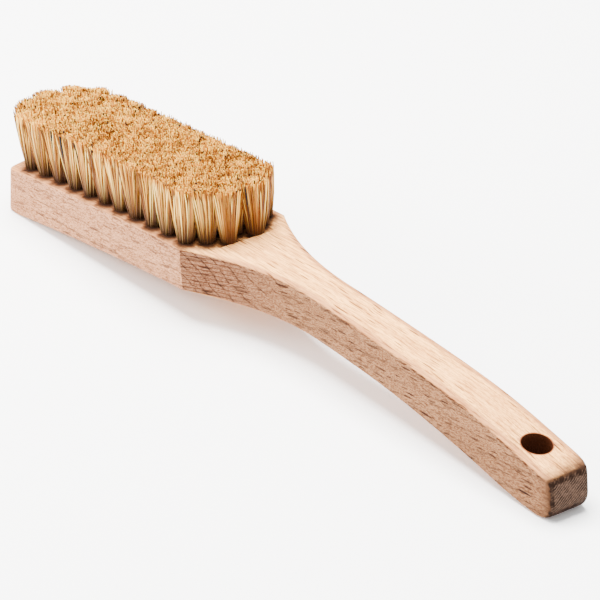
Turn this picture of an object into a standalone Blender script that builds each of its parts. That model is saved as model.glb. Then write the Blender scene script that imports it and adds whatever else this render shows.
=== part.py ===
"""Climbing hold brush: a one-piece beech body, drilled and filled with tufts of boar hair.

It is modelled level with the face that carries the bristles: x runs from the toe to the handle end,
y across and z away from the wood. One empty then tips it onto the ground, where it lies on its back
on the lower edge of its toe and the underside of its handle. Lengths are in metres.
"""

import bmesh
import bpy
from math import atan2, cos, pi, sin
from mathutils import Matrix, Vector

# Head
HEAD_LENGTH = 0.0930  # toe corners to heel corners
HEAD_WIDTH = 0.0380  # across the heel corners
TOE_WIDTH_SHARE = 1.04  # across the toe corners
TOE_CROWN = 0.0039  # how far the toe bows out past its corners
TOE_RAKE = 0.0026  # how much further the toe reaches at the underside
TOE_CORNER = 0.0022
TOE_LIFT = 0.0014  # how far the underside rises to the very toe
TOE_LIFT_LENGTH = 0.0090
HEAD_ARCH = 0.0007  # rise of the bristle face between its ends

# Neck and handle
HANDLE_LENGTH = 0.1536  # heel corners to the end face
NECK_LENGTH = 0.0480  # the flanks sweep in over this length
WAIST_WIDTH = 0.0138
HANDLE_END_WIDTH = 0.0155
HANDLE_DROP = 0.0252  # from the heel to the end of the bowed handle
BOW_SHARES = ((0, 0), (0.25, 0.123), (0.5, 0.3205), (0.75, 0.5734), (1, 1))

# Thickness of the wood, and the turns of its edges
TOE_THICKNESS = 0.0153
HEEL_THICKNESS = 0.0135
WAIST_THICKNESS = 0.0129
GRIP_THICKNESS = 0.01525
END_THICKNESS = 0.0131
HANDLE_THICKNESS_SHARES = (0, 0.48, 0.85, 1)  # where the last four are measured along the handle
END_TURN = 0.0065  # radius by which the underside turns up into the end face
END_TUCK = 0.0015  # how far each flank draws in towards the end face
END_TUCK_LENGTH = 0.0110
EDGE_ROUND = 0.0009

# Hanging hole
HOLE_DIAMETER = 0.0087
HOLE_FROM_END = 0.0150

# Blind holes for the tufts, in staggered rows
TUFT_HOLE_DIAMETER = 0.0040
TUFT_HOLE_DEPTH = 0.0090
EDGE_MARGIN = 0.00475  # side of the head to the middle of the outer row
TOE_MARGIN = 0.0062  # toe corners to the first tuft of the outer row
HEEL_MARGIN = 0.0035  # last tuft of the outer row to the heel corners
OUTER_ROW_TUFTS = 11
ROW_ENDS_SHARES = ((-0.5, 0.5), (0, 1), (-0.5, 0.5), (0, 0))  # past the outer row's ends, middle row first

# Tufts
BRISTLE_LENGTH = 0.0166  # out of the wood
TOE_BRISTLE_EXTRA = 0.0026  # the middle tufts near the toe stand longer
TOE_BRISTLE_REACH = 0.0350
STRANDS = 5
TOE_SPLAY = 0.0028  # lean of the tips past the toe
TOE_SPLAY_REACH = 0.0750
FAR_SPLAY = 0.0065  # more of that lean on the far side, where the brush is worn most
FAR_SPREAD = 0.0018  # and an outward lean with it
FAR_SPLAY_REACH = 0.0450
HEEL_SPLAY = 0.0014
HEEL_SPLAY_REACH = 0.0300
TUFT_FAN = 0.0017  # spread of a tuft's strands at their tips
STRAND_TIP_SHARE = 0.62
STRAND_INSET = 0.00014

# Flat wire over which the tufts are folded
WIRE_THICKNESS = 0.00045
WIRE_HEIGHT = 0.0016
WIRE_BITE = 0.0006  # into the wood at both ends
CHANNEL_SINK = 0.0002  # below the floor of the tuft holes

# Inner tufts stand in pairs on one piece of backing
BACKING_HEIGHT = 0.0010
BACKING_DEPTH = 0.0053

GAP = 0.0003  # between neighbouring pieces
OVERRUN = 0.0040  # how far a cutter runs past the wood

LENGTH = HEAD_LENGTH + HANDLE_LENGTH
TOE_FACET_END = TOE_LIFT_LENGTH - TOE_CROWN - TOE_RAKE
HALF_ROWS = len(ROW_ENDS_SHARES) - 1
PITCH = (HEAD_LENGTH - TOE_MARGIN - HEEL_MARGIN) / (OUTER_ROW_TUFTS - 1)
ROW_SPACING = (HEAD_WIDTH / 2 - EDGE_MARGIN) / HALF_ROWS
CHANNEL_FLOOR = -TUFT_HOLE_DEPTH - CHANNEL_SINK
WIRE_TOP = CHANNEL_FLOOR + GAP + WIRE_HEIGHT
HOLE_SIDES = 8
ROOT_RADIUS = TUFT_HOLE_DIAMETER / 2 * cos(pi / HOLE_SIDES) - GAP
BACKING_WIDTH = 2 * ROOT_RADIUS * sin(pi / STRANDS)


def smooth(knots, at):
    """A curve through the knots that never overshoots them."""
    xs = [k[0] for k in knots]
    ys = [k[1] for k in knots]
    if at >= xs[-1]:
        return ys[-1]
    slopes = [(ys[i + 1] - ys[i]) / (xs[i + 1] - xs[i]) for i in range(len(xs) - 1)]
    turns = [slopes[0]]
    for a, b in zip(slopes, slopes[1:]):
        turns.append(2 * a * b / (a + b) if a * b > 0 else 0)
    turns.append(slopes[-1])
    i = max(n for n in range(len(slopes)) if xs[n] <= at)
    span = xs[i + 1] - xs[i]
    t = (at - xs[i]) / span
    start = (1 + 2 * t) * (1 - t) ** 2 * ys[i] + t * (1 - t) ** 2 * span * turns[i]
    return start + t * t * (3 - 2 * t) * ys[i + 1] + t * t * (t - 1) * span * turns[i + 1]


def top(x):
    """Height of the upper face: a shallow arch on the head, then the bowed handle."""
    along = x / HEAD_LENGTH
    if along <= 1:
        return -HEAD_ARCH * (2 * along - 1) ** 2
    return -HEAD_ARCH - HANDLE_DROP * smooth(BOW_SHARES, (x - HEAD_LENGTH) / HANDLE_LENGTH)


def bottom(x):
    """Height of the underside, which ends in a short facet under the toe."""
    along = (x - HEAD_LENGTH) / HANDLE_LENGTH
    if along < 0:
        thick = TOE_THICKNESS + (HEEL_THICKNESS - TOE_THICKNESS) * x / HEAD_LENGTH
        thick -= TOE_LIFT * max((TOE_FACET_END - x) / TOE_LIFT_LENGTH, 0)
    else:
        sizes = (HEEL_THICKNESS, WAIST_THICKNESS, GRIP_THICKNESS, END_THICKNESS)
        thick = smooth(list(zip(HANDLE_THICKNESS_SHARES, sizes)), along)
    return top(x) - thick


def half_width(x):
    """Half the width in plan: a near straight head, the swept neck and a slightly flared handle."""
    if x <= HEAD_LENGTH:
        return HEAD_WIDTH * (TOE_WIDTH_SHARE + (1 - TOE_WIDTH_SHARE) * max(x, 0) / HEAD_LENGTH) / 2
    past = x - HEAD_LENGTH
    sweep = max(1 - past / NECK_LENGTH, 0) ** 2
    flare = max(past - NECK_LENGTH, 0) / (HANDLE_LENGTH - NECK_LENGTH)
    tucked = max((x - LENGTH) / END_TUCK_LENGTH + 1, 0)
    width = WAIST_WIDTH + (HEAD_WIDTH - WAIST_WIDTH) * sweep + (HANDLE_END_WIDTH - WAIST_WIDTH) * flare
    return width / 2 - END_TUCK * tucked**2


def bristle_length(x, y):
    aside = y / (HALF_ROWS * ROW_SPACING)
    return BRISTLE_LENGTH + TOE_BRISTLE_EXTRA * (1 - aside**2) * max(1 - x / TOE_BRISTLE_REACH, 0)


def lean(x, y):
    """How far the tips of the tuft at x, y have been pushed over by use."""
    aside = y / (HALF_ROWS * ROW_SPACING)
    worn = max(1 - x / FAR_SPLAY_REACH, 0)
    toe = TOE_SPLAY * max(1 - x / TOE_SPLAY_REACH, 0) + FAR_SPLAY * min(aside + 1, 1) * worn**2
    heel = HEEL_SPLAY * max((x - HEAD_LENGTH) / HEEL_SPLAY_REACH + 1, 0)
    return Vector((heel - toe, FAR_SPREAD * max(aside, 0) * worn, 0))


def tuft_rows():
    """Middles of the tuft holes, row by row from the near side."""
    rows = []
    for side in range(-HALF_ROWS, HALF_ROWS + 1):
        start, end = ROW_ENDS_SHARES[abs(side)]
        count = OUTER_ROW_TUFTS + int(end - start)
        rows.append([(TOE_MARGIN + (start + n) * PITCH, side * ROW_SPACING) for n in range(count)])
    return rows


def material(name, colour, roughness, metallic=0):
    made = bpy.data.materials.new(name)
    made.use_nodes = True
    shader = made.node_tree.nodes["Principled BSDF"]
    shader.inputs["Base Color"].default_value = (*colour, 1)
    shader.inputs["Roughness"].default_value = roughness
    shader.inputs["Metallic"].default_value = metallic
    return made


def add_object(name, bm, collection, finish=None):
    mesh = bpy.data.meshes.new(name)
    bmesh.ops.recalc_face_normals(bm, faces=bm.faces)
    bm.to_mesh(mesh)
    bm.free()
    made = bpy.data.objects.new(name, mesh)
    collection.objects.link(made)
    if finish:
        mesh.materials.append(finish)
    return made


def add_cutter(name, bm, collection, parent):
    made = add_object(name, bm, collection)
    made.parent = parent
    made.hide_render = True
    made.display_type = "WIRE"
    return made


def cut(target, cutter):
    modifier = target.modifiers.new(cutter.name, "BOOLEAN")
    modifier.operation = "DIFFERENCE"
    modifier.solver = "EXACT"
    modifier.object = cutter


def add_box(bm, low, high):
    size = [b - a for a, b in zip(low, high)]
    middle = [(a + b) / 2 for a, b in zip(low, high)]
    bmesh.ops.create_cube(bm, size=1, matrix=Matrix.Translation(middle) @ Matrix.Diagonal((*size, 1)))


def blank():
    """A block with loops cut along and across it, bent to the side view and drawn to the plan."""
    head_shares = (0.2, 0.4, 0.6, 0.8, 1)
    neck_shares = (0.04, 0.09, 0.15, 0.22, 0.3, 0.39, 0.49, 0.6, 0.72, 0.85, 1)
    handle_shares = (0.11, 0.22, 0.33, 0.44, 0.55, 0.66, 0.76, 0.85)
    places = [TOE_FACET_END] + [share * HEAD_LENGTH for share in head_shares]
    places += [HEAD_LENGTH + share * NECK_LENGTH for share in neck_shares]
    places += [LENGTH - (HANDLE_LENGTH - NECK_LENGTH) * (1 - share) for share in handle_shares]
    bm = bmesh.new()
    bmesh.ops.create_cube(bm, size=1, matrix=Matrix.Translation((0.5, 0, 0)))
    columns = 8
    cuts = [(Vector((place / LENGTH, 0, 0)), Vector((1, 0, 0))) for place in places]
    cuts += [(Vector((0, n / columns - 0.5, 0)), Vector((0, 1, 0))) for n in range(1, columns)]
    for point, normal in cuts:
        everything = bm.verts[:] + bm.edges[:] + bm.faces[:]
        bmesh.ops.bisect_plane(bm, geom=everything, plane_co=point, plane_no=normal)
    for v in bm.verts:
        across = 2 * v.co.y
        x = v.co.x * LENGTH
        y = across * half_width(x)
        if v.co.x == 0:
            x = -TOE_CROWN * (1 - across**2) - (0 if v.co.z > 0 else TOE_RAKE)
        v.co = (x, y, top(x) if v.co.z > 0 else bottom(x))
    return bm


def round_edges(bm, edges, radius, segments):
    bmesh.ops.bevel(bm, geom=edges, offset=radius, segments=segments, profile=0.5, affect="EDGES", material=-1)


def body_mesh():
    """The blank with the corners of its toe, the heel of its end and then all its edges rounded."""
    bm = blank()
    bm.normal_update()
    sharp = [e for e in bm.edges if e.calc_face_angle() > pi / 4]
    toe = [e for e in sharp if all(v.co.x < GAP and abs(v.co.y) > half_width(0) - GAP for v in e.verts)]
    heel = [e for e in sharp if all(abs(v.co.x - LENGTH) + abs(v.co.z - bottom(LENGTH)) < GAP for v in e.verts)]
    round_edges(bm, toe, TOE_CORNER, 5)
    round_edges(bm, heel, END_TURN, 6)
    bm.normal_update()
    round_edges(bm, [e for e in bm.edges if e.calc_face_angle() > pi / 4], EDGE_ROUND, 3)
    return bm


def add_tuft(bm, x, y, turned):
    """A root that fills its hole, and on it strands that fan out and lean as they do after use."""
    low = -TUFT_HOLE_DEPTH + GAP
    place = Matrix.Translation((x, y, (low + top(x)) / 2)) @ Matrix.Rotation(turned, 4, "Z")
    made = bmesh.ops.create_cone(
        bm,
        cap_ends=True,
        cap_tris=True,
        segments=STRANDS,
        radius1=ROOT_RADIUS,
        radius2=ROOT_RADIUS,
        depth=top(x) - low,
        matrix=place,
    )
    faces = {f for v in made["verts"] for f in v.link_faces}
    caps = [f for f in faces if all(v.co.z > low + GAP for v in f.verts)]
    bmesh.ops.inset_individual(bm, faces=caps, thickness=STRAND_INSET, use_even_offset=True)
    strands = bmesh.ops.extrude_discrete_faces(bm, faces=caps)["faces"]
    root = Vector((x, y, top(x)))
    length = bristle_length(x, y)
    for strand in strands:
        foot = strand.calc_center_median()
        shift = (foot - root).normalized() * TUFT_FAN + lean(x, y)
        shift.z = length - shift.length_squared / length / 4
        for v in strand.verts:
            v.co = foot + shift + (v.co - foot) * STRAND_TIP_SHARE


def join_roots(bm, start, end):
    """Bridges the facing sides of two neighbouring roots, below the surface of the wood."""
    low = -BACKING_DEPTH - BACKING_HEIGHT / 2
    high = -BACKING_DEPTH + BACKING_HEIGHT / 2
    for level in (low, high):
        everything = bm.verts[:] + bm.edges[:] + bm.faces[:]
        bmesh.ops.bisect_plane(bm, geom=everything, plane_co=(0, 0, level), plane_no=(0, 0, 1))
    bm.normal_update()
    facing = []
    for f in bm.faces:
        middle = f.calc_center_median()
        between = start < middle.x < end and low < middle.z < high
        if between and abs(f.normal.x) > 1 - STRAND_TIP_SHARE / 10:
            facing.append(f)
    edges = [e for f in facing for e in f.edges]
    bmesh.ops.delete(bm, geom=facing, context="FACES_ONLY")
    bmesh.ops.bridge_loops(bm, edges=edges)


def row_wire(row, slack):
    """Corners of the flat wire of one row of tufts, or of its channel in the wood."""
    reach = TUFT_HOLE_DIAMETER / 2 + WIRE_BITE + slack
    half = WIRE_THICKNESS / 2 + slack
    y = row[0][1]
    low = (row[0][0] - reach, y - half, WIRE_TOP - WIRE_HEIGHT - slack)
    return low, (row[-1][0] + reach, y + half, WIRE_TOP + slack)


def resting_tilt(points):
    """Angle of the underside that carries the brush: the lower hull edge below its middle."""
    middle = sum(p.x for p in points) / len(points)
    left = [p for p in points if p.x < middle]
    right = [p for p in points if p.x > middle]
    toe = min(left, key=lambda p: p.z)
    for _ in range(4):
        heel = min(right, key=lambda p: atan2(p.z - toe.z, p.x - toe.x))
        toe = max(left, key=lambda p: atan2(heel.z - p.z, heel.x - p.x))
    return atan2(heel.z - toe.z, heel.x - toe.x)


for old in list(bpy.data.objects):
    bpy.data.objects.remove(old, do_unlink=True)

parts = bpy.data.collections.new("climbing_hold_brush")
cutters = bpy.data.collections.new("cutters")
for collection in (parts, cutters):
    bpy.context.scene.collection.children.link(collection)

beech = material("beech", (0.62, 0.42, 0.27), 0.55)
hair = material("boar_hair", (0.55, 0.34, 0.12), 0.5)
steel = material("anchor_wire", (0.6, 0.58, 0.54), 0.35, 1)

tipped = bpy.data.objects.new("resting", None)
bpy.context.scene.collection.objects.link(tipped)

rows = tuft_rows()
body = add_object("beech_body", body_mesh(), parts, beech)
body.parent = tipped
tilt = resting_tilt([v.co for v in body.data.vertices])
tipped.rotation_euler.y = tilt

drill = bmesh.new()
channels = bmesh.new()
slots = bmesh.new()
for row in rows:
    add_box(channels, *row_wire(row, GAP))
    for x, y in row:
        high = top(x) + OVERRUN
        turn = Matrix.Rotation(pi / HOLE_SIDES, 4, "Z")
        bmesh.ops.create_cone(
            drill,
            cap_ends=True,
            segments=HOLE_SIDES,
            radius1=TUFT_HOLE_DIAMETER / 2,
            radius2=TUFT_HOLE_DIAMETER / 2,
            depth=high + TUFT_HOLE_DEPTH,
            matrix=Matrix.Translation((x, y, (high - TUFT_HOLE_DEPTH) / 2)) @ turn,
        )
for row in rows[1:-1]:
    for (start, y), (end, _) in zip(row[::2], row[1::2]):
        half = BACKING_WIDTH / 2 + GAP
        rise = BACKING_HEIGHT / 2 + GAP
        add_box(slots, (start, y - half, -BACKING_DEPTH - rise), (end, y + half, -BACKING_DEPTH + rise))

hanging = bmesh.new()
hole_x = LENGTH - HOLE_FROM_END
high = top(hole_x) + OVERRUN
low = bottom(hole_x) - OVERRUN
upright = Matrix.Rotation(-tilt, 4, "Y")
bmesh.ops.create_cone(
    hanging,
    cap_ends=True,
    segments=28,
    radius1=HOLE_DIAMETER / 2,
    radius2=HOLE_DIAMETER / 2,
    depth=high - low,
    matrix=Matrix.Translation((hole_x, 0, (high + low) / 2)) @ upright,
)

wire_channels = add_cutter("wire_channels", channels, cutters, tipped)
for cutter in (
    add_cutter("tuft_drill", drill, cutters, tipped),
    wire_channels,
    add_cutter("backing_slots", slots, cutters, tipped),
    add_cutter("hanging_drill", hanging, cutters, tipped),
):
    cut(body, cutter)

for number, row in enumerate(rows, 1):
    bm = bmesh.new()
    add_box(bm, *row_wire(row, 0))
    add_object(f"anchor_wire_row_{number}", bm, parts, steel).parent = tipped
    paired = 1 < number < len(rows)
    for first in range(0, len(row), 2 if paired else 1):
        bm = bmesh.new()
        add_tuft(bm, *row[first], -0.3 * pi)
        name = f"tuft_row_{number}_{first + 1:02}"
        if paired:
            add_tuft(bm, *row[first + 1], 0.7 * pi)
            join_roots(bm, row[first][0], row[first + 1][0])
            name = f"tufts_row_{number}_{first + 1:02}_{first + 2:02}"
        made = add_object(name, bm, parts, hair)
        made.parent = tipped
        cut(made, wire_channels)

bpy.context.view_layer.update()
corners = [o.matrix_world @ v.co for o in parts.objects for v in o.data.vertices]
ends = [[pick(c[axis] for c in corners) for axis in range(3)] for pick in (min, max)]
tipped.location = (-(ends[0][0] + ends[1][0]) / 2, -(ends[0][1] + ends[1][1]) / 2, -ends[0][2])
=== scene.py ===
import random
from math import cos, pi, radians, sin, sqrt

import bmesh
import bpy
from mathutils import Matrix, Vector


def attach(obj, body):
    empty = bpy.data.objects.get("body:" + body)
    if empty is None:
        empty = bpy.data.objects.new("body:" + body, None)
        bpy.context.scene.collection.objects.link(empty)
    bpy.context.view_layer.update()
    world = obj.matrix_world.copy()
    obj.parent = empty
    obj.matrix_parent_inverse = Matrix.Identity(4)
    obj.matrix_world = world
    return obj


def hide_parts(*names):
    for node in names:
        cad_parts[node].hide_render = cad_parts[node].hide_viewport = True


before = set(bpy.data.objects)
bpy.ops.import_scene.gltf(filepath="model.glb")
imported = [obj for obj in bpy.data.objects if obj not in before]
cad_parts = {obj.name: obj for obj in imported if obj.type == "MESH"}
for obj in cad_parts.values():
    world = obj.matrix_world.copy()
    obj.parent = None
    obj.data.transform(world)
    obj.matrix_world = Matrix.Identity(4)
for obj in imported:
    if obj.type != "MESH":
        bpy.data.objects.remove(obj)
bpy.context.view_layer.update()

# The brush is laid out level with the face of its head, x from toe to handle end, then tipped onto the ground
lying = {
    "tilt": 5.2747,  # degrees, toe down
    "slide": (-0.118990, 0, 0.015582),
}
toGround = Matrix.Translation(lying["slide"]) @ Matrix.Rotation(-radians(lying["tilt"]), 4, "Y")
toHead = toGround.inverted()
perMetre = 1000  # millimetres, which the patterns of the wood are laid out in


def smoothCurve(knots, at):
    # a curve through the knots that never overshoots them
    xs = [k[0] for k in knots]
    ys = [k[1] for k in knots]
    if at >= xs[-1]:
        return ys[-1]
    slopes = [(ys[i + 1] - ys[i]) / (xs[i + 1] - xs[i]) for i in range(len(xs) - 1)]
    turns = [slopes[0]]
    turns += [2 * a * b / (a + b) if a * b > 0 else 0 for a, b in zip(slopes, slopes[1:])]
    turns.append(slopes[-1])
    i = max(n for n in range(len(slopes)) if xs[n] <= at)
    span = xs[i + 1] - xs[i]
    t = (at - xs[i]) / span
    first = (1 + 2 * t) * (1 - t) ** 2 * ys[i] + t * (1 - t) ** 2 * span * turns[i]
    return first + t * t * (3 - 2 * t) * ys[i + 1] + t * t * (t - 1) * span * turns[i + 1]


# The wooden body

wood = {
    "headLength": 0.0930,
    "headWidth": 0.0380,
    "toeWidthShare": 1.04,
    "toeCrown": 0.0039,
    "toeCorner": 0.0022,
    "toeSegments": 9,
    "toeRake": 0.0026,
    "toeLift": 0.0014,
    "toeLiftLength": 0.0090,
    "headArch": 0.0007,
    "handleLength": 0.1536,
    "neckLength": 0.0480,
    "waistWidth": 0.0138,
    "endWidth": 0.0155,
    "drop": 0.0252,
    "bow": ((0, 0), (0.25, 0.123), (0.5, 0.3205), (0.75, 0.5734), (1, 1)),
    "toeThickness": 0.0153,
    "thickness": ((0, 0.0135), (0.48, 0.0129), (0.85, 0.01525), (1, 0.0131)),  # heel to handle end
    "endTurn": 0.0065,
    "turnSegments": 12,
    "endRound": 0.0017,  # between the top and the end face
    "roundSegments": 7,
    "endTuck": (0.0012, 0.0023),  # how far the near and the far flank round in to the end face
    "tuckLength": (0.0040, 0.0085),
    "tuckSteps": 9,
    "edgeRound": 0.0009,
    "edgeSegments": 5,
    "hangingHole": 0.0087,
    "holeFromEnd": 0.0150,
    "headSteps": 22,
    "neckSteps": 26,
    "handleSteps": 32,
    "columns": 12,
    "neckGrading": 1.3,  # the cuts across lie closer together at the heel
    "tuckGrading": 1.4,  # and at the rounded end
    "turnClear": 1.1,  # no cut falls in the last turn, times this
    "crease": 45,  # degrees, and more than this is an edge to round
    "shadeAngle": 38,  # less than this is shaded smooth
    "touching": 0.0003,  # how near a line a corner counts as on it
}
wood["length"] = wood["headLength"] + wood["handleLength"]
wood["toeReach"] = wood["toeCrown"] + wood["toeRake"]

tufts = {
    "hole": 0.0040,
    "showDepth": 0.0030,
    "edgeMargin": 0.00475,
    "toeMargin": 0.0062,
    "heelMargin": 0.0035,
    "outerCount": 11,
    "rowEnds": ((-0.5, 0.5), (0, 1), (-0.5, 0.5), (0, 0)),  # middle row first
}
tufts["pitch"] = (wood["headLength"] - tufts["toeMargin"] - tufts["heelMargin"]) / (tufts["outerCount"] - 1)
tufts["rowGap"] = (wood["headWidth"] / 2 - tufts["edgeMargin"]) / 3


def faceHeight(x):
    along = x / wood["headLength"]
    if along <= 1:
        return -wood["headArch"] * (2 * along - 1) ** 2
    share = (x - wood["headLength"]) / wood["handleLength"]
    return -wood["headArch"] - wood["drop"] * smoothCurve(wood["bow"], share)


def backHeight(x):
    share = (x - wood["headLength"]) / wood["handleLength"]
    if share < 0:
        toe = wood["toeThickness"]
        grown = (wood["thickness"][0][1] - toe) * x / wood["headLength"]
        rise = max((wood["toeLiftLength"] - wood["toeReach"] - x) / wood["toeLiftLength"], 0)
        return faceHeight(x) - toe - grown + wood["toeLift"] * rise
    return faceHeight(x) - smoothCurve(wood["thickness"], share)


def halfWidth(x):
    if x <= wood["headLength"]:
        toe = wood["toeWidthShare"]
        return wood["headWidth"] * (toe + (1 - toe) * max(x, 0) / wood["headLength"]) / 2
    past = x - wood["headLength"]
    sweep = max(1 - past / wood["neckLength"], 0) ** 2
    flare = max(past - wood["neckLength"], 0) / (wood["handleLength"] - wood["neckLength"])
    width = wood["waistWidth"] + (wood["headWidth"] - wood["waistWidth"]) * sweep
    return (width + (wood["endWidth"] - wood["waistWidth"]) * flare) / 2


def tuftRows():
    rows = []
    for side in range(-3, 4):
        first, last = tufts["rowEnds"][abs(side)]
        count = tufts["outerCount"] + int(last - first)
        along = [tufts["toeMargin"] + (first + n) * tufts["pitch"] for n in range(count)]
        rows.append([(x, side * tufts["rowGap"]) for x in along])
    return rows


def hangingHoleMiddle():
    x = wood["length"] - wood["holeFromEnd"]
    return Vector((x, 0, (faceHeight(x) + backHeight(x)) / 2))


def cutAcross(bm, point, normal):
    everything = bm.verts[:] + bm.edges[:] + bm.faces[:]
    bmesh.ops.bisect_plane(bm, geom=everything, plane_co=point, plane_no=normal)


def roundEdges(bm, edges, radius, segments):
    bmesh.ops.bevel(bm, geom=edges, offset=radius, segments=segments, profile=0.5, affect="EDGES",
                    material=-1)


def sharpEdges(bm):
    bm.normal_update()
    return [e for e in bm.edges if e.calc_face_angle() > radians(wood["crease"])]


def woodenBlank():
    bm = bmesh.new()
    bmesh.ops.create_cube(bm, size=1, matrix=Matrix.Translation((0.5, 0, 0)))
    places = [wood["headLength"] * (n + 1) / wood["headSteps"] for n in range(wood["headSteps"])]
    places[0] = wood["toeLiftLength"] - wood["toeReach"]
    for n in range(wood["neckSteps"]):
        share = ((n + 1) / wood["neckSteps"]) ** wood["neckGrading"]
        places.append(wood["headLength"] + wood["neckLength"] * share)
    straight = wood["handleLength"] - wood["neckLength"]
    for n in range(1, wood["handleSteps"]):
        place = wood["length"] - straight * (1 - n / wood["handleSteps"])
        if place < wood["length"] - wood["endTurn"] * wood["turnClear"]:
            places.append(place)
    for place in places:
        cutAcross(bm, (place / wood["length"], 0, 0), (1, 0, 0))
    for n in range(1, wood["columns"]):
        cutAcross(bm, (0, n / wood["columns"] - 0.5, 0), (0, 1, 0))
    for v in bm.verts:
        across = 2 * v.co.y
        x = v.co.x * wood["length"]
        y = across * halfWidth(x)
        if v.co.x == 0:
            x = -wood["toeCrown"] * (1 - across**2) - (wood["toeRake"] if v.co.z < 0 else 0)
        v.co = (x, y, faceHeight(x) if v.co.z > 0 else backHeight(x))
    return bm


def buildBody():
    bm = woodenBlank()
    sharp = sharpEdges(bm)
    near = wood["touching"]
    side = halfWidth(0) - near
    end = wood["length"]
    corners = [e for e in sharp if all(v.co.x < near and abs(v.co.y) > side for v in e.verts)]
    atEnd = [e for e in sharp if all(abs(v.co.x - end) < near for v in e.verts)]
    lower = [e for e in atEnd if all(abs(v.co.z - backHeight(end)) < near for v in e.verts)]
    upper = [e for e in atEnd if all(abs(v.co.z - faceHeight(end)) < near for v in e.verts)]
    roundEdges(bm, corners, wood["toeCorner"], wood["toeSegments"])
    roundEdges(bm, lower, wood["endTurn"], wood["turnSegments"])
    roundEdges(bm, upper, wood["endRound"], wood["roundSegments"])
    roundEdges(bm, sharpEdges(bm), wood["edgeRound"], wood["edgeSegments"])
    reach = wood["tuckLength"][1] + wood["endTurn"]
    for n in range(wood["tuckSteps"]):
        share = (1 - n / wood["tuckSteps"]) ** wood["tuckGrading"]
        cutAcross(bm, (end - reach * share, 0, 0), (1, 0, 0))
    edgePlace = bm.verts.layers.float.new("edgePlace")
    for v in bm.verts:  # millimetres down from the upper side edge, or inwards from it when below zero
        inset = halfWidth(v.co.x) - abs(v.co.y)
        v[edgePlace] = perMetre * (faceHeight(v.co.x) - v.co.z - inset)
        far = v.co.y > 0
        low = min(max((backHeight(v.co.x) - v.co.z) / wood["endTurn"] + 1, 0), 1)
        away = end - v.co.x - wood["endTurn"] * (1 - sqrt(1 - low**2))  # from the rounded end
        into = min(max(1 - away / wood["tuckLength"][far], 0), 1)
        v.co.y *= 1 - wood["endTuck"][far] * into**3 / halfWidth(v.co.x)
    bmesh.ops.recalc_face_normals(bm, faces=bm.faces)
    return bm


def keepPiece(bm, name, finish, nodes):
    mesh = bpy.data.meshes.new(name)
    bm.to_mesh(mesh)
    bm.free()
    piece = bpy.data.objects.new(name, mesh)
    bpy.context.scene.collection.objects.link(piece)
    mesh.materials.append(finish)
    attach(piece, "root")
    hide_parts(*nodes)
    return piece


drilling = {
    "above": 0.0030,  # how far the tuft drills stand out of the face
    "sides": 16,
    "hangingLength": 0.03,
    "hangingSides": 64,
}


def addDrill(bm, width, length, sides, place):
    radius = width / 2
    bmesh.ops.create_cone(bm, cap_ends=True, segments=sides, radius1=radius, radius2=radius, depth=length,
                          matrix=place)


def drillBody(body):
    # blind tuft holes and the hanging hole, cut with one set of drills
    bm = bmesh.new()
    length = tufts["showDepth"] + drilling["above"]
    for row in tuftRows():
        for x, y in row:
            place = Matrix.Translation((x, y, faceHeight(x) - tufts["showDepth"] + length / 2))
            addDrill(bm, tufts["hole"], length, drilling["sides"], place)
    upright = Matrix.Rotation(radians(lying["tilt"]), 4, "Y")
    place = Matrix.Translation(hangingHoleMiddle()) @ upright
    addDrill(bm, wood["hangingHole"], drilling["hangingLength"], drilling["hangingSides"], place)
    bmesh.ops.transform(bm, matrix=toGround, verts=bm.verts)
    mesh = bpy.data.meshes.new("drills")
    bm.to_mesh(mesh)
    bm.free()
    drills = bpy.data.objects.new("drills", mesh)
    bpy.context.scene.collection.objects.link(drills)
    cut = body.modifiers.new("drill", "BOOLEAN")
    cut.operation = "DIFFERENCE"
    cut.solver = "EXACT"
    cut.object = drills
    bpy.context.view_layer.update()
    graph = bpy.context.evaluated_depsgraph_get()
    drilled = bpy.data.meshes.new_from_object(body.evaluated_get(graph))
    body.modifiers.clear()
    body.data = drilled
    bpy.data.objects.remove(drills)


# Shader helpers, and the beech

def newMaterial(name):
    made = bpy.data.materials.new(name)
    made.use_nodes = True
    return made, made.node_tree, made.node_tree.nodes["Principled BSDF"]


def addNode(tree, kind, inputs=None, **settings):
    node = tree.nodes.new(kind)
    for key, value in settings.items():
        setattr(node, key, value)
    for key, value in (inputs or {}).items():
        if isinstance(value, bpy.types.NodeSocket):
            tree.links.new(value, node.inputs[key])
        else:
            node.inputs[key].default_value = value
    return node


def mathNode(tree, operation, a, b=None, c=None, clamp=False):
    inputs = {0: a}
    if b is not None:
        inputs[1] = b
    if c is not None:
        inputs[2] = c
    return addNode(tree, "ShaderNodeMath", inputs, operation=operation, use_clamp=clamp).outputs[0]


def rangeNode(tree, value, low, high, toLow=0.0, toHigh=1.0, smooth=True):
    inputs = {"Value": value, "From Min": low, "From Max": high, "To Min": toLow, "To Max": toHigh}
    kind = "SMOOTHSTEP" if smooth else "LINEAR"
    return addNode(tree, "ShaderNodeMapRange", inputs, interpolation_type=kind).outputs["Result"]


def mixColour(tree, factor, a, b, blend="MIX"):
    node = tree.nodes.new("ShaderNodeMix")
    node.data_type = "RGBA"
    node.blend_type = blend
    for socket, value in ((node.inputs[0], factor), (node.inputs[6], a), (node.inputs[7], b)):
        if isinstance(value, bpy.types.NodeSocket):
            tree.links.new(value, socket)
        else:
            socket.default_value = value
    return node.outputs[2]


def newGroup(name, inputs, outputs):
    tree = bpy.data.node_groups.new(name, "ShaderNodeTree")
    for label, kind in inputs:
        tree.interface.new_socket(label, in_out="INPUT", socket_type=kind)
    for label, kind in outputs:
        tree.interface.new_socket(label, in_out="OUTPUT", socket_type=kind)
    return tree, tree.nodes.new("NodeGroupInput"), tree.nodes.new("NodeGroupOutput")


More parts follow.
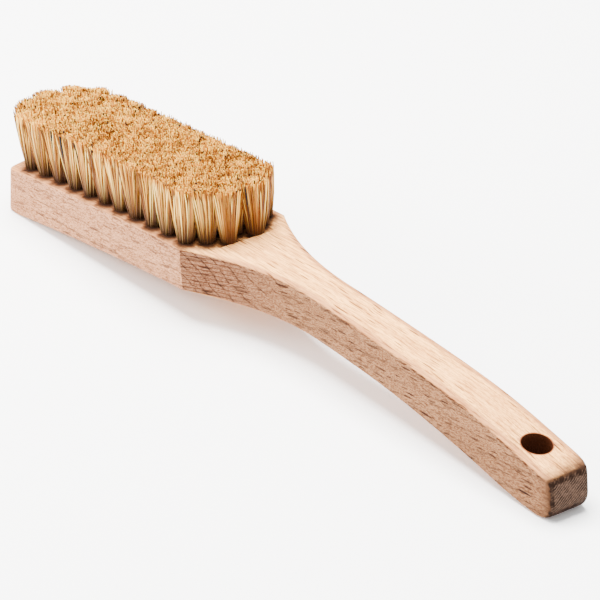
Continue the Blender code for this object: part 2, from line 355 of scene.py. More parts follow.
def rowSpotsGroup():
    # distance to the nearest tuft hole among every other row
    tree, given, made = newGroup("rowSpots", [("Place", "NodeSocketVector"), ("Odd", "NodeSocketFloat")],
                                 [("Distance", "NodeSocketFloat")])
    place = addNode(tree, "ShaderNodeSeparateXYZ", {0: given.outputs["Place"]})
    odd = given.outputs["Odd"]
    shifted = mathNode(tree, "MULTIPLY_ADD", odd, -tufts["rowGap"], place.outputs["Y"])
    pair = mathNode(tree, "ROUND", mathNode(tree, "DIVIDE", shifted, tufts["rowGap"] * 2))
    row = mathNode(tree, "MULTIPLY_ADD", pair, 2, odd)
    most = mathNode(tree, "ADD", odd, 2)
    row = mathNode(tree, "MINIMUM", row, most)
    row = mathNode(tree, "MAXIMUM", row, mathNode(tree, "MULTIPLY", most, -1))
    early = mathNode(tree, "SUBTRACT", odd, 1)  # the even rows start half a step nearer to the toe
    start = mathNode(tree, "MULTIPLY_ADD", early, tufts["pitch"] / 2, tufts["toeMargin"])
    along = mathNode(tree, "SUBTRACT", place.outputs["X"], start)
    step = mathNode(tree, "ROUND", mathNode(tree, "DIVIDE", along, tufts["pitch"]))
    outer = mathNode(tree, "GREATER_THAN", mathNode(tree, "ABSOLUTE", row), 2.5)  # these have a tuft less
    last = mathNode(tree, "SUBTRACT", tufts["outerCount"], outer)
    step = mathNode(tree, "MAXIMUM", mathNode(tree, "MINIMUM", step, last), 0)
    x = mathNode(tree, "MULTIPLY_ADD", step, -tufts["pitch"], along)
    y = mathNode(tree, "MULTIPLY_ADD", row, -tufts["rowGap"], place.outputs["Y"])
    squares = mathNode(tree, "MULTIPLY_ADD", x, x, mathNode(tree, "MULTIPLY", y, y))
    tree.links.new(mathNode(tree, "SQRT", squares), made.inputs["Distance"])
    return tree


def flecksGroup():
    # short dark dashes along the grain: Place holds millimetres along and across it
    given = [("Place", "NodeSocketVector")]
    given += [(label, "NodeSocketFloat") for label in ("Length", "Width", "Share")]
    tree, given, made = newGroup("grainFlecks", given, [("Mask", "NodeSocketFloat")])
    place = addNode(tree, "ShaderNodeSeparateXYZ", {0: given.outputs["Place"]})
    wavy = {"Vector": given.outputs["Place"], "Scale": 0.10, "Detail": 1.0}
    wobble = addNode(tree, "ShaderNodeTexNoise", wavy)
    drift = mathNode(tree, "MULTIPLY_ADD", wobble.outputs[0], 1.2, place.outputs["Y"])
    squeezed = addNode(tree, "ShaderNodeCombineXYZ", {
        0: mathNode(tree, "DIVIDE", place.outputs["X"], given.outputs["Length"]),
        1: mathNode(tree, "DIVIDE", drift, given.outputs["Width"]),
    })
    spread = {"Vector": squeezed.outputs[0], "Scale": 1.0}
    cells = addNode(tree, "ShaderNodeTexVoronoi", spread, voronoi_dimensions="2D")
    pick = addNode(tree, "ShaderNodeSeparateColor", {0: cells.outputs["Color"]})
    size = mathNode(tree, "MULTIPLY_ADD", pick.outputs[1], 0.20, 0.12)
    outwards = mathNode(tree, "DIVIDE", cells.outputs["Distance"], size)
    inside = mathNode(tree, "SUBTRACT", 1, outwards, clamp=True)
    chosen = mathNode(tree, "LESS_THAN", pick.outputs[0], given.outputs["Share"])
    strength = mathNode(tree, "MULTIPLY_ADD", pick.outputs[2], 0.6, 0.4)
    mask = mathNode(tree, "MULTIPLY", rangeNode(tree, inside, 0.0, 0.4), strength)
    tree.links.new(mathNode(tree, "MULTIPLY", mask, chosen), made.inputs["Mask"])
    return tree


beech = {
    "top": (0.93, 0.470, 0.152, 1),
    "topStreak": (0.58, 0.250, 0.078, 1),
    "headTop": (0.46, 0.200, 0.082, 1),  # the tufted face, darkened by painted shade from the tufts over some singeing
    # the flank colours hold painted shade: they are darker than the top because the sides get less light
    "headFlank": (0.44, 0.212, 0.108, 1),
    "neckFlank": (0.240, 0.112, 0.058, 1),
    "handleFlank": (0.240, 0.115, 0.053, 1),
    "roll": (0.36, 0.150, 0.066, 1),  # painted shade on the near side of the top, darker where it rolls over away from the light
    "gritShade": (0.40, 0.32, 0.27, 1),  # shades darken the wood under them
    "poreShade": (0.50, 0.41, 0.35, 1),
    "fleckShade": (0.12, 0.07, 0.05, 1),
    "edgeShade": (0.26, 0.17, 0.13, 1),
    # near-black scorch, which round the tufts also serves as painted shadow at their roots and in their holes
    "scorchAndShadow": (0.008, 0.0030, 0.0013, 1),
    "singe": (0.12, 0.034, 0.011, 1),
    "holeWall": (0.052, 0.014, 0.005, 1),
    "smear": (0.040, 0.016, 0.008, 1),
    "endSinge": (0.105, 0.044, 0.020, 1),
    # end grain, darkened as painted shade because the end faces away from the light
    "endGrain": (0.105, 0.060, 0.040, 1),
    "sawMark": (0.007, 0.0035, 0.002, 1),
    "flankDash": (11.0, 1.45, 0.95),  # length and width in millimetres, and the share of places with one
    "faceDash": (13.0, 1.20, 0.75),
    "flankPore": (5.0, 0.85, 1.0),
    "facePore": (14.0, 0.62, 1.0),
    "ringGap": 1.5,  # millimetres, as are the next five
    "chatterGap": 1.25,
    "sawGap": 0.95,
    "endFrom": 240,  # past the hanging hole
    "burntTo": 100,  # no burn round the tufts beyond this
    "wallWidth": 0.02,  # the walls of the holes are dark, and this much round them
    "headShadedAndSinged": (98, 88, 0.0, 0.9),  # from and to in millimetres along the brush, and the share at each
    "neckToHandleFlank": (100, 140, 0.0, 1.0),
    "rollGrows": (95, 112, 0.0, 0.75),
    "chatterFades": (104, 128, 1.0, 0.0),
    "edgeLineGrows": (100, 200, 0.45, 1.0),
    "singed": (2.4, 6.0, 0.85, 0.0),  # the same, outwards from the middle of a tuft hole
    "smeared": (1.0, 5.0, 0.76, 0.0),
    "scorchedAndShaded": (1.7, 4.5, 0.92, 0.0),
    "endSinged": (8.0, 0.5, 0.0, 0.95),  # the same, by what is left to the end of the handle
    "endScorched": (3.6, 0.0, 0.0, 0.85),
    "roughness": (0.60, 0.75),
    "specular": 0.04,
    "bumpStrength": 0.5,
    "bump": 0.00012,  # metres
}

beechNoise = {
    "slow": ((0.02, 0.45, 0.30), 3.0),  # stretch along, across and up, and detail
    "smoke": ((0.55, 0.55, 0.55), 3.0),
    "fibre": ((0.16, 2.6, 2.6), 3.0),
    "grit": ((1.1, 3.6, 3.6), 2.0),
    "cloud": ((0.16, 0.5, 0.5), 2.0),
    "bend": ((0.03, 0.09, 0.09), 2.0),
    "breaks": ((0.16, 0.9, 0.9), 2.0),
}


def woodPlaces(tree, holeMiddle):
    # places in millimetres, level with the head, and masks for the faces of the body
    coords = addNode(tree, "ShaderNodeTexCoord")
    move = {"Vector": coords.outputs["Object"], "Location": toHead.translation, "Rotation": toHead.to_euler()}
    level = addNode(tree, "ShaderNodeMapping", move, vector_type="POINT").outputs[0]
    mm = addNode(tree, "ShaderNodeVectorMath", {0: level, 1: [perMetre] * 3}, operation="MULTIPLY").outputs[0]
    axes = addNode(tree, "ShaderNodeSeparateXYZ", {0: mm})
    facing = addNode(tree, "ShaderNodeSeparateXYZ", {0: coords.outputs["Normal"]})
    flat = mathNode(tree, "ABSOLUTE", facing.outputs["Z"])
    world = addNode(tree, "ShaderNodeSeparateXYZ", {0: coords.outputs["Object"]})
    fromHole = mathNode(tree, "SUBTRACT", world.outputs["X"], holeMiddle.x)
    squares = mathNode(tree, "MULTIPLY", fromHole, fromHole)
    squares = mathNode(tree, "MULTIPLY_ADD", world.outputs["Y"], world.outputs["Y"], squares)
    x, y, z = axes.outputs
    pastHole = mathNode(tree, "GREATER_THAN", x, beech["endFrom"])
    turning = mathNode(tree, "MULTIPLY", rangeNode(tree, facing.outputs["X"], 0.15, 0.55), pastHole)
    endEdges = mathNode(tree, "MULTIPLY", turning, rangeNode(tree, facing.outputs["X"], 0.985, 0.90))
    places = {
        "level": level,
        "x": x,
        "y": y,
        "z": z,
        "faceMm": addNode(tree, "ShaderNodeCombineXYZ", {0: x, 1: y}).outputs[0],
        "flankMm": addNode(tree, "ShaderNodeCombineXYZ", {0: x, 1: z}).outputs[0],
        "edge": addNode(tree, "ShaderNodeAttribute", attribute_name="edgePlace").outputs["Fac"],
        "up": rangeNode(tree, facing.outputs["Z"], 0.5, 0.85),
        "side": rangeNode(tree, flat, 0.75, 0.35),
        "end": mathNode(tree, "MULTIPLY", rangeNode(tree, facing.outputs["X"], 0.55, 0.75), pastHole),
        "endEdges": endEdges,
        "neck": mathNode(tree, "GREATER_THAN", x, wood["headLength"] * perMetre),
        "left": mathNode(tree, "SUBTRACT", wood["length"] * perMetre, x),
        "fromHole": mathNode(tree, "MULTIPLY", mathNode(tree, "SQRT", squares), perMetre),
    }
    for name, (stretch, detail) in beechNoise.items():
        places[name] = stretchedNoise(tree, mm, stretch, detail)
    return places


def stretchedNoise(tree, place, stretch, detail):
    squeezed = addNode(tree, "ShaderNodeVectorMath", {0: place, 1: stretch}, operation="MULTIPLY")
    inputs = {"Vector": squeezed.outputs[0], "Scale": 1.0, "Detail": detail, "Roughness": 0.6}
    return addNode(tree, "ShaderNodeTexNoise", inputs).outputs[0]


def stripes(tree, value, gap, thin):
    # 1 on evenly spaced lines, thin as a share of their gap
    turn = mathNode(tree, "PINGPONG", mathNode(tree, "DIVIDE", value, gap), 0.5)
    return rangeNode(tree, turn, thin, thin * 0.3)


def fleckLayer(tree, flecks, place, sizes):
    layer = addNode(tree, "ShaderNodeGroup", node_tree=flecks)
    tree.links.new(place, layer.inputs["Place"])
    for key, value in zip(("Length", "Width", "Share"), sizes):
        layer.inputs[key].default_value = value
    return layer.outputs["Mask"]


def bySide(tree, at, onFace, onFlank):
    return addNode(tree, "ShaderNodeMix", {0: at["side"], 2: onFace, 3: onFlank}).outputs[0]


def grainColour(tree, at):
    # the planed top, and flanks darker than it as painted shade where less light falls, over the wood's own
    # colour: pinkish on the head, browner on neck and handle
    streak = mathNode(tree, "MULTIPLY", rangeNode(tree, at["slow"], 0.38, 0.66), 0.30)
    streak = mathNode(tree, "MULTIPLY_ADD", rangeNode(tree, at["fibre"], 0.44, 0.58), 0.60, streak)
    top = mixColour(tree, streak, beech["top"], beech["topStreak"])
    # painted shade, darkening the top towards its near edge
    roll = rangeNode(tree, at["edge"], -2.6, -1.3)
    roll = mathNode(tree, "MULTIPLY", roll, rangeNode(tree, at["x"], *beech["rollGrows"]))
    top = mixColour(tree, roll, top, beech["roll"])
    # painted shade of the tufts, over some singeing, darkens the tufted face of the head
    top = mixColour(tree, rangeNode(tree, at["x"], *beech["headShadedAndSinged"]), top, beech["headTop"])
    towardHandle = rangeNode(tree, at["x"], *beech["neckToHandleFlank"])
    flank = mixColour(tree, towardHandle, beech["neckFlank"], beech["handleFlank"])
    flank = mixColour(tree, at["neck"], beech["headFlank"], flank)
    # painted shade: the flanks take their darker colours by which way they face
    colour = mixColour(tree, at["side"], top, flank)
    speckle = mathNode(tree, "MULTIPLY_ADD", at["side"], 0.70, 0.12)
    speckle = mathNode(tree, "MULTIPLY", rangeNode(tree, at["grit"], 0.45, 0.57), speckle)
    colour = mixColour(tree, speckle, colour, beech["gritShade"], "MULTIPLY")
    bands = rangeNode(tree, at["slow"], 0.35, 0.7, 0.0, 0.30)
    return mixColour(tree, bands, colour, beech["poreShade"], "MULTIPLY")


def grainMarks(tree, at, colour):
    # dark spindle dashes, fine pores, ring lines and the chatter of the shaper on the neck
    flecks = flecksGroup()
    flankDashes = fleckLayer(tree, flecks, at["flankMm"], beech["flankDash"])
    faceDashes = fleckLayer(tree, flecks, at["faceMm"], beech["faceDash"])
    flankPores = fleckLayer(tree, flecks, at["flankMm"], beech["flankPore"])
    facePores = fleckLayer(tree, flecks, at["faceMm"], beech["facePore"])
    dashes = bySide(tree, at, faceDashes, flankDashes)
    pores = bySide(tree, at, facePores, flankPores)
    nearHeel = mathNode(tree, "MULTIPLY", at["neck"], rangeNode(tree, at["x"], *beech["chatterFades"]))
    nearHeel = mathNode(tree, "MULTIPLY", nearHeel, at["side"])
    ring = mathNode(tree, "MULTIPLY_ADD", at["y"], 0.93, mathNode(tree, "MULTIPLY", at["z"], 0.37))
    ring = mathNode(tree, "MULTIPLY_ADD", at["bend"], 3.0, ring)
    broken = rangeNode(tree, at["breaks"], 0.34, 0.50)
    rings = mathNode(tree, "MULTIPLY", stripes(tree, ring, beech["ringGap"], 0.11), broken)
    chatter = mathNode(tree, "MULTIPLY_ADD", at["smoke"], 0.35, at["z"])
    chatter = mathNode(tree, "MULTIPLY", stripes(tree, chatter, beech["chatterGap"], 0.20), nearHeel)
    dashShare = mathNode(tree, "MULTIPLY_ADD", at["side"], 0.10, 0.55)
    dashShare = mathNode(tree, "MULTIPLY_ADD", at["neck"], 0.35, dashShare)
    ringShare = mathNode(tree, "MULTIPLY_ADD", nearHeel, 0.35, 0.40)
    layers = (
        (mathNode(tree, "MULTIPLY", pores, 0.95), "poreShade"),
        (chatter, "poreShade"),
        (mathNode(tree, "MULTIPLY", rings, ringShare), "fleckShade"),
        (mathNode(tree, "MULTIPLY", dashes, dashShare), "fleckShade"),
    )
    for layer, shade in layers:
        colour = mixColour(tree, layer, colour, beech[shade], "MULTIPLY")
    height = mathNode(tree, "MULTIPLY_ADD", dashes, -0.6, mathNode(tree, "MULTIPLY", at["fibre"], 0.5))
    height = mathNode(tree, "MULTIPLY_ADD", pores, -0.4, height)
    height = mathNode(tree, "MULTIPLY_ADD", chatter, -0.7, height)
    return colour, mathNode(tree, "MULTIPLY_ADD", rings, -0.3, height)


def tuftDistance(tree, spots, place):
    distances = []
    for odd in (0.0, 1.0):
        spot = addNode(tree, "ShaderNodeGroup", node_tree=spots)
        tree.links.new(place, spot.inputs["Place"])
        spot.inputs["Odd"].default_value = odd
        distances.append(spot.outputs["Distance"])
    return mathNode(tree, "MULTIPLY", mathNode(tree, "MINIMUM", *distances), perMetre)


def raggedDistance(tree, spots, at, shift):
    moved = addNode(tree, "ShaderNodeVectorMath", {0: at["level"], 1: shift}, operation="ADD")
    burn = tuftDistance(tree, spots, moved.outputs[0])
    return mathNode(tree, "ADD", burn, mathNode(tree, "MULTIPLY_ADD", at["smoke"], 3.0, -1.5))


def burntAndShadedHoles(tree, at, colour):
    # singed wood round the tuft holes, and dark rims, hole walls and a smear towards the heel and near side
    # that are partly scorch and partly painted shadow of the tufts
    spots = rowSpotsGroup()
    nearest = tuftDistance(tree, spots, at["level"])
    near = raggedDistance(tree, spots, at, (-0.0010, 0.0007, 0))
    smear = raggedDistance(tree, spots, at, (-0.0030, 0.0020, 0))
    onFace = mathNode(tree, "MULTIPLY", at["up"], mathNode(tree, "LESS_THAN", at["x"], beech["burntTo"]))
    singe = mathNode(tree, "MULTIPLY", rangeNode(tree, near, *beech["singed"]), onFace)
    colour = mixColour(tree, singe, colour, beech["singe"])
    # the smear is partly burn and partly painted shadow under the tufts
    smearAndShadow = mathNode(tree, "MULTIPLY", rangeNode(tree, smear, *beech["smeared"]), onFace)
    colour = mixColour(tree, smearAndShadow, colour, beech["smear"])
    # the dark rims are partly scorch and partly painted contact shadow at the tuft roots; the hole walls are
    # painted shade
    scorchAndShadow = mathNode(tree, "MULTIPLY", rangeNode(tree, near, *beech["scorchedAndShaded"]), onFace)
    hole = tufts["hole"] * perMetre / 2
    aboveFloor = mathNode(tree, "GREATER_THAN", at["z"], -2 * tufts["showDepth"] * perMetre)
    inHole = mathNode(tree, "LESS_THAN", nearest, hole + beech["wallWidth"])
    inHole = mathNode(tree, "MULTIPLY", inHole, aboveFloor)
    return mixColour(tree, mathNode(tree, "MAXIMUM", scorchAndShadow, inHole), colour, beech["scorchAndShadow"])


def burntHangingHole(tree, at, colour):
    wall = wood["hangingHole"] * perMetre / 2 + beech["wallWidth"]
    rim = rangeNode(tree, at["fromHole"], wall + 0.13, wall + 0.43, 1.0, 0.0)
    colour = mixColour(tree, rim, colour, beech["singe"])
    inside = rangeNode(tree, at["fromHole"], wall, wall + 0.03, 1.0, 0.0)
    return mixColour(tree, inside, colour, beech["holeWall"])


def burntEdges(tree, at, colour):
    # brown dashes that come and go along the edges of the handle, and the burnt turn of its end
    line = rangeNode(tree, at["edge"], 0.0, 0.4)
    line = mathNode(tree, "MULTIPLY", line, rangeNode(tree, at["edge"], 1.25, 0.85))
    line = mathNode(tree, "MULTIPLY", line, rangeNode(tree, at["cloud"], 0.45, 0.56))
    line = mathNode(tree, "MULTIPLY", line, rangeNode(tree, at["fibre"], 0.40, 0.55))
    line = mathNode(tree, "MULTIPLY", line, rangeNode(tree, at["x"], *beech["edgeLineGrows"]))
    colour = mixColour(tree, line, colour, beech["edgeShade"], "MULTIPLY")
    ragged = mathNode(tree, "ADD", at["left"], mathNode(tree, "MULTIPLY_ADD", at["smoke"], 3.6, -1.8))
    ragged = mathNode(tree, "MULTIPLY_ADD", at["y"], -0.20, ragged)  # the far corner is burnt further in
    colour = mixColour(tree, rangeNode(tree, ragged, *beech["endSinged"]), colour, beech["endSinge"])
    return mixColour(tree, rangeNode(tree, ragged, *beech["endScorched"]), colour, beech["scorchAndShadow"])


def endGrain(tree, at, colour):
    # the sawn end of the handle, hatched by the saw, inside its scorched edges; its end grain is also
    # darkened as painted shade, the end facing away from the light
    across = mathNode(tree, "MULTIPLY_ADD", at["y"], -0.80, at["z"])
    across = mathNode(tree, "MULTIPLY_ADD", at["smoke"], 0.9, across)
    marks = stripes(tree, across, beech["sawGap"], 0.5)
    marks = mathNode(tree, "MULTIPLY", marks, rangeNode(tree, at["cloud"], 0.3, 0.6, 0.5, 1.0))
    sawn = mixColour(tree, mathNode(tree, "MULTIPLY", marks, 0.95), beech["endGrain"], beech["sawMark"])
    sawn = mixColour(tree, rangeNode(tree, at["grit"], 0.42, 0.62, 0.0, 0.5), sawn, beech["sawMark"])
    colour = mixColour(tree, at["end"], colour, sawn)
    edges = mathNode(tree, "MULTIPLY", at["endEdges"], rangeNode(tree, at["smoke"], 0.38, 0.60, 0.35, 0.95))
    return mixColour(tree, edges, colour, beech["scorchAndShadow"])


def beechMaterial(holeMiddle):
    made, tree, shader = newMaterial("beechWood")
    at = woodPlaces(tree, holeMiddle)
    colour = grainColour(tree, at)
    colour, height = grainMarks(tree, at, colour)
    colour = burntAndShadedHoles(tree, at, colour)
    colour = burntHangingHole(tree, at, colour)
    colour = burntEdges(tree, at, colour)
    colour = endGrain(tree, at, colour)
    tree.links.new(colour, shader.inputs["Base Color"])
    tree.links.new(rangeNode(tree, at["fibre"], 0.3, 0.7, *beech["roughness"]), shader.inputs["Roughness"])
    shader.inputs["Specular IOR Level"].default_value = beech["specular"]
    relief = {"Height": height, "Strength": beech["bumpStrength"], "Distance": beech["bump"]}
    bump = addNode(tree, "ShaderNodeBump", relief)
    tree.links.new(bump.outputs[0], shader.inputs["Normal"])
    return made


print("stage: wooden body")
bodyBm = buildBody()
bmesh.ops.transform(bodyBm, matrix=toGround, verts=bodyBm.verts)
beechWood = beechMaterial(toGround @ hangingHoleMiddle())
woodBody = keepPiece(bodyBm, "woodBody", beechWood, ["beech_body"])
drillBody(woodBody)
woodBody.data.shade_smooth()
woodBody.data.set_sharp_from_angle(angle=radians(wood["shadeAngle"]))

# The tufts of boar hair

hair = {
    "gridSide": 19,  # hairs across a tuft
    "length": 0.0166,
    "thick": 0.00025,
    "blackThick": 0.00048,  # the few black hairs are the stout ones
    "blackShare": 0.018,
    "taper": (0.97, 0.97, 0.95, 0.85),
    "levels": (0.16, 0.5, 0.82, 1.0),
    "fan": 0.0025,  # spread of a tuft's tips
    "outerFan": 0.0006,  # outward spread of the two outer rows
    "outerShare": 0.52,  # half the length of an outer tuft's tip, in tuft gaps: it meets its neighbours
    "loose": (0.00035, 0.0008),  # scatter of the tips, and of the stray ones
    "tidyShare": 0.95,
    "uneven": 0.0002,
    "unevenTuft": 0.00014,
    "bend": 0.0003,
    "leanBend": 0.12,
    "swirl": 0.15,  # radians, either way
    "packing": 0.93,  # the root of a tuft, as a share of its hole
    "buried": 0.8,  # how far down the drilled hole the roots start
    "tuftTone": 0.075,
    "rimTone": (0.27, -0.10),  # hairs in the middle of a tuft are lighter at the cut than those at its rim
    "dome": (0.45, 0.8),  # how far a tuft's outer tips drop, at the heel and at the toe
    "leanDrop": 0.25,
    "toeSplay": 0.0022,
    "toeReach": 0.075,
    "farSplay": 0.0058,  # more lean past the toe away from the near side
    "farSpread": 0.0018,  # and outwards with it
    "farReach": 0.045,
    "toeExtra": 0.0026,  # longer tufts in the middle of the toe
    "extraReach": 0.035,
    "heelSplay": 0.0004,
    "heelReach": 0.030,
    "seed": 7,
    "black": (0.008, 0.007, 0.006, 1),
    "shades": (
        (0.023, (0.07, 0.022, 0.004, 1)),
        (0.28, (0.16, 0.054, 0.006, 1)),
        (0.54, (0.42, 0.163, 0.017, 1)),
        (0.78, (0.82, 0.445, 0.072, 1)),
        (0.93, (1.0, 0.72, 0.20, 1)),
    ),
    "cutTint": (0.97, 0.80, 0.38, 1),
    "lowerHair": (0.26, 0.090, 0.022, 1),
    "rootShade": (0.046, 0.019, 0.009, 1),
    "cutTinted": (0.88, 1.0, 0.0, 0.9),  # from and to along a hair, and the share at each
    "lowerBrowned": (0.25, 0.85, 0.45, 0.0),
    "rootShaded": (0.10, 0.66, 0.95, 0.0),
    "roughness": 0.45,
    "specular": 0.12,
}


def tuftLean(x, y):
    aside = y / (3 * tufts["rowGap"])
    worn = max(1 - x / hair["farReach"], 0)
    toe = hair["toeSplay"] * max(1 - x / hair["toeReach"], 0)
    toe += hair["farSplay"] * min(aside + 1, 1) * worn**2
    heel = hair["heelSplay"] * max((x - wood["headLength"]) / hair["heelReach"] + 1, 0)
    return Vector((heel - toe, hair["farSpread"] * max(aside, 0) * worn, 0))


def tipOffset(x, y, foot, out, dice):
    # how far a hair's tip lies from its foot, before the lean of its tuft
    spread = Vector((out.x, out.y, 0)) * hair["fan"]
    if abs(y) > 2.5 * tufts["rowGap"]:
        middle = (wood["headLength"] + tufts["toeMargin"] - tufts["heelMargin"]) / 2
        outermost = abs(x - middle) > (tufts["outerCount"] / 2 - 0.75) * tufts["pitch"]
        if not (outermost and out.x * (x - middle) > 0):  # the last tufts keep their round outer side
            chord = sqrt(max(1 - out.y**2, 0.15))
            spread.x = out.x / chord * hair["outerShare"] * tufts["pitch"] - foot.x
        if out.y * y > 0:
            spread.y = out.y * hair["outerFan"]
    loose = hair["loose"][dice.random() > hair["tidyShare"]]
    return spread + Vector((dice.gauss(0, loose), dice.gauss(0, loose), 0))


def hairLength(x, y):
    # hairs are longer in the middle of the toe, and worn least on the near side
    aside = y / (3 * tufts["rowGap"])
    wear = min(aside**2 if aside > 0 else aside**4, 1)
    return hair["length"] + hair["toeExtra"] * (1 - wear) * max(1 - x / hair["extraReach"], 0)


def looseSquares(bm, root, radius):
    # a round patch of squares, one for the root of each hair
    side = hair["gridSide"]
    place = Matrix.Translation(root)
    grid = bmesh.ops.create_grid(bm, x_segments=side, y_segments=side, size=radius, matrix=place)
    # a dict keeps the same order each time, and a set would not
    faces = list(dict.fromkeys(f for v in grid["verts"] for f in v.link_faces))
    outside = [f for f in faces if (f.calc_center_median() - root).length > radius]
    bmesh.ops.delete(bm, geom=outside, context="FACES")
    faces = [f for f in faces if f.is_valid]
    bmesh.ops.split_edges(bm, edges=list(dict.fromkeys(e for f in faces for e in f.edges)))
    return faces


def growTuft(bm, x, y, dice):
    hairId = bm.faces.layers.int["hairId"]
    hairTone = bm.verts.layers.float["hairTone"]
    radius = tufts["hole"] / 2 * hair["packing"]
    buried = tufts["showDepth"] * hair["buried"]
    root = Vector((x, y, faceHeight(x) - buried))
    faces = looseSquares(bm, root, radius)
    lean = tuftLean(x, y)
    tuftTall = dice.gauss(0, hair["unevenTuft"])
    swirl = Matrix.Rotation(dice.uniform(-hair["swirl"], hair["swirl"]), 3, "Z")
    heelDome, toeDome = hair["dome"]
    dome = heelDome + (toeDome - heelDome) * max(1 - x / hair["extraReach"], 0)
    tuftTone = dice.gauss(0, hair["tuftTone"])
    middleTone, rimTone = hair["rimTone"]
    paths = {}
    for number, f in enumerate(faces):
        f[hairId] = number
        foot = f.calc_center_median()
        own = tipOffset(x, y, foot - root, swirl @ (foot - root) / radius, dice)
        spread = own + lean
        tip = foot + own
        tall = hairLength(tip.x, tip.y) + tuftTall + dice.gauss(0, hair["uneven"])
        drop = hair["leanDrop"] * spread.length_squared + dome * own.length_squared
        spread.z = tall - drop / tall + buried
        bend = Vector((dice.gauss(0, hair["bend"]), dice.gauss(0, hair["bend"]), 0))
        bend += lean * hair["leanBend"]
        rim = middleTone + (rimTone - middleTone) * ((foot - root).length / radius) ** 2
        tone = dice.random()
        paths[number] = (foot, spread, bend, tone, tuftTone + rim)
        size = sqrt(f.calc_area())
        thick = hair["blackThick"] if tone < hair["blackShare"] else hair["thick"]
        spin = Matrix.Rotation(dice.uniform(0, pi), 3, "Z")
        for v in f.verts:
            v.co = foot + spin @ (v.co - foot) * (thick / size)
            v[hairTone] = tone
    extrudeHairs(bm, faces, paths)


def extrudeHairs(bm, faces, paths):
    hairId = bm.faces.layers.int["hairId"]
    hairTone = bm.verts.layers.float["hairTone"]
    hairAlong = bm.verts.layers.float["hairAlong"]
    hairRim = bm.verts.layers.float["hairRim"]
    for share, taper in zip(hair["levels"], hair["taper"]):
        faces = bmesh.ops.extrude_discrete_faces(bm, faces=faces)["faces"]
        for f in faces:
            foot, spread, bend, tone, rim = paths[f[hairId]]
            middle = f.calc_center_median()
            target = foot + spread * share + bend * (4 * share * (1 - share))
            for v in f.verts:
                v.co = target + (v.co - middle) * taper
                v[hairTone] = tone
                v[hairAlong] = share
                v[hairRim] = rim


def hairMaterial():
    # cream and gold hairs with a few black ones, brown lower down and dark to the root, golden at the cut
    # tip; the dark roots are painted shade down among the tufts
    made, tree, shader = newMaterial("boarHair")
    tone = addNode(tree, "ShaderNodeAttribute", attribute_name="hairTone")
    along = addNode(tree, "ShaderNodeAttribute", attribute_name="hairAlong").outputs["Fac"]
    rim = addNode(tree, "ShaderNodeAttribute", attribute_name="hairRim").outputs["Fac"]
    pale = mathNode(tree, "GREATER_THAN", tone.outputs["Fac"], hair["blackShare"])
    atCut = mathNode(tree, "MULTIPLY", rangeNode(tree, along, 0.86, 0.98), pale)
    shifted = mathNode(tree, "MULTIPLY_ADD", atCut, rim, tone.outputs["Fac"])
    notBlack = mathNode(tree, "MULTIPLY", pale, hair["blackShare"] + 0.03)
    shifted = mathNode(tree, "MAXIMUM", shifted, notBlack)
    ramp = addNode(tree, "ShaderNodeValToRGB", {0: shifted})
    stops = ramp.color_ramp.elements
    stops[0].position = hair["blackShare"]
    stops[0].color = hair["black"]
    stops[1].position, stops[1].color = hair["shades"][-1]
    for position, shade in hair["shades"][:-1]:
        stops.new(position).color = shade
    tip = mathNode(tree, "MULTIPLY", rangeNode(tree, along, *hair["cutTinted"]), pale)
    colour = mixColour(tree, tip, ramp.outputs[0], hair["cutTint"], "MULTIPLY")
    colour = mixColour(tree, rangeNode(tree, along, *hair["lowerBrowned"]), colour, hair["lowerHair"])
    # painted shade down among the tufts, darkening each hair towards its root
    colour = mixColour(tree, rangeNode(tree, along, *hair["rootShaded"]), colour, hair["rootShade"])
    tree.links.new(colour, shader.inputs["Base Color"])
    shader.inputs["Roughness"].default_value = hair["roughness"]
    shader.inputs["Specular IOR Level"].default_value = hair["specular"]
    return made


print("stage: boar hair")
boarHair = hairMaterial()
for rowNumber, row in enumerate(tuftRows(), 1):
    hairBm = bmesh.new()
    hairBm.faces.layers.int.new("hairId")
    hairBm.verts.layers.float.new("hairTone")
    hairBm.verts.layers.float.new("hairAlong")
    hairBm.verts.layers.float.new("hairRim")
    dice = random.Random(hair["seed"] + rowNumber)
    for x, y in row:
        growTuft(hairBm, x, y, dice)
    bmesh.ops.recalc_face_normals(hairBm, faces=hairBm.faces)
    bmesh.ops.transform(hairBm, matrix=toGround, verts=hairBm.verts)
    nodes = [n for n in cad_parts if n.startswith((f"tuft_row_{rowNumber}_", f"tufts_row_{rowNumber}_"))]
    keepPiece(hairBm, f"hairRow{rowNumber}", boarHair, nodes)

# The anchor wires stay as they are, inside the wood

wire = {
    "colour": (0.55, 0.53, 0.49, 1),
    "scratches": (300, 9000, 9000),  # fine across the wire, long along it
    "roughness": (0.25, 0.45),
}


def wireMaterial():
    made, tree, shader = newMaterial("flatWire")
    place = addNode(tree, "ShaderNodeTexCoord").outputs["Object"]
    stretched = addNode(tree, "ShaderNodeVectorMath", {0: place, 1: wire["scratches"]}, operation="MULTIPLY")
    fine = {"Vector": stretched.outputs[0], "Scale": 1.0, "Detail": 3.0}
    scratches = addNode(tree, "ShaderNodeTexNoise", fine).outputs[0]
    tree.links.new(rangeNode(tree, scratches, 0.3, 0.7, *wire["roughness"]), shader.inputs["Roughness"])
    shader.inputs["Base Color"].default_value = wire["colour"]
    shader.inputs["Metallic"].default_value = 1.0
    return made


print("stage: anchor wires")
flatWire = wireMaterial()
for name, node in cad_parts.items():
    if name.startswith("anchor_wire"):
        node.data.materials.clear()
        node.data.materials.append(flatWire)

# Floor, light and camera

studio = {
    "floorReach": 3,  # metres each way
    "floorColour": (0.93, 0.93, 0.93, 1),
    "floorRoughness": 0.9,
    "airColour": (1, 1, 1, 1),
    "airStrength": 1.5,
}


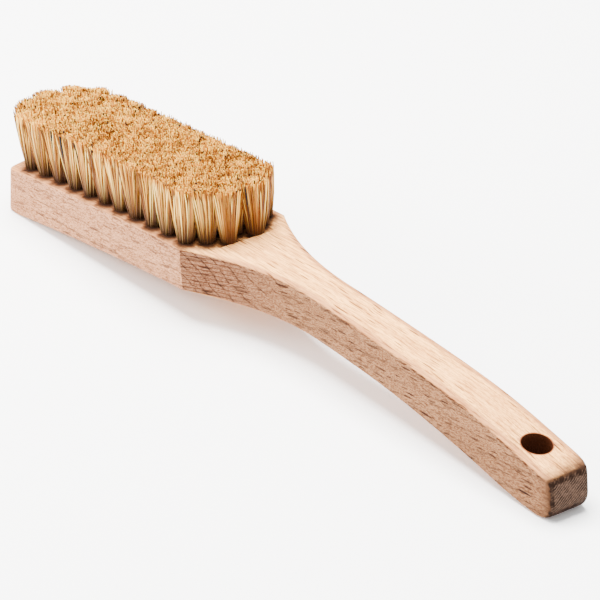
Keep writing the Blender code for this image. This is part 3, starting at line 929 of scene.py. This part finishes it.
def layFloor():
    bm = bmesh.new()
    bmesh.ops.create_grid(bm, x_segments=1, y_segments=1, size=studio["floorReach"])
    mesh = bpy.data.meshes.new("floor")
    bm.to_mesh(mesh)
    bm.free()
    floor = bpy.data.objects.new("floor", mesh)
    bpy.context.scene.collection.objects.link(floor)
    paper, _, shader = newMaterial("palePaper")
    shader.inputs["Base Color"].default_value = studio["floorColour"]
    shader.inputs["Roughness"].default_value = studio["floorRoughness"]
    mesh.materials.append(paper)


print("stage: studio")
layFloor()

lamps = {
    "key": {"at": (-0.35, 0.05, 1.45), "size": 1.2, "power": 185, "colour": (1.0, 0.99, 0.97)},
    "left": {"at": (-0.50, -0.45, 0.30), "size": 0.35, "power": 11, "colour": (1.0, 0.99, 0.98)},
}
for name, lamp in lamps.items():
    data = bpy.data.lights.new(name, "AREA")
    data.size = lamp["size"]
    data.energy = lamp["power"]
    data.color = lamp["colour"]
    light = bpy.data.objects.new(name, data)
    light.location = lamp["at"]
    light.rotation_euler = (-Vector(lamp["at"])).to_track_quat("-Z", "Y").to_euler()
    bpy.context.scene.collection.objects.link(light)
world = bpy.data.worlds.new("studioAir")
world.use_nodes = True
air = world.node_tree.nodes["Background"]
air.inputs["Color"].default_value = studio["airColour"]
air.inputs["Strength"].default_value = studio["airStrength"]
bpy.context.scene.world = world

shot = {
    "azimuth": radians(55.26),  # seen level with the head, from its near side
    "elevation": radians(23.15),
    "roll": radians(-3.81),
    "aim": (0.1050, 0, 0),
    "aside": 0.01291,
    "below": 0.01752,
    "away": 1.0723,
    "lens": 220.4,
    "film": 36,
    "clip": (0.01, 20),
}
back = Matrix.Rotation(shot["azimuth"], 3, "Z") @ Vector((0, -cos(shot["elevation"]), sin(shot["elevation"])))
level = Vector((0, 0, 1)).cross(back).normalized()
turned = Matrix.Rotation(shot["roll"], 3, back)
right = turned @ level
up = turned @ back.cross(level)
stand = Vector(shot["aim"]) + right * shot["aside"] - up * shot["below"] + back * shot["away"]
cameraData = bpy.data.cameras.new("camera")
cameraData.lens = shot["lens"]
cameraData.sensor_width = shot["film"]
cameraData.clip_start, cameraData.clip_end = shot["clip"]
camera = bpy.data.objects.new("camera", cameraData)
axes = Matrix((right, up, back)).transposed()
camera.matrix_world = toGround @ Matrix.Translation(stand) @ axes.to_4x4()
bpy.context.scene.collection.objects.link(camera)
bpy.context.scene.camera = camera

bpy.context.view_layer.update()
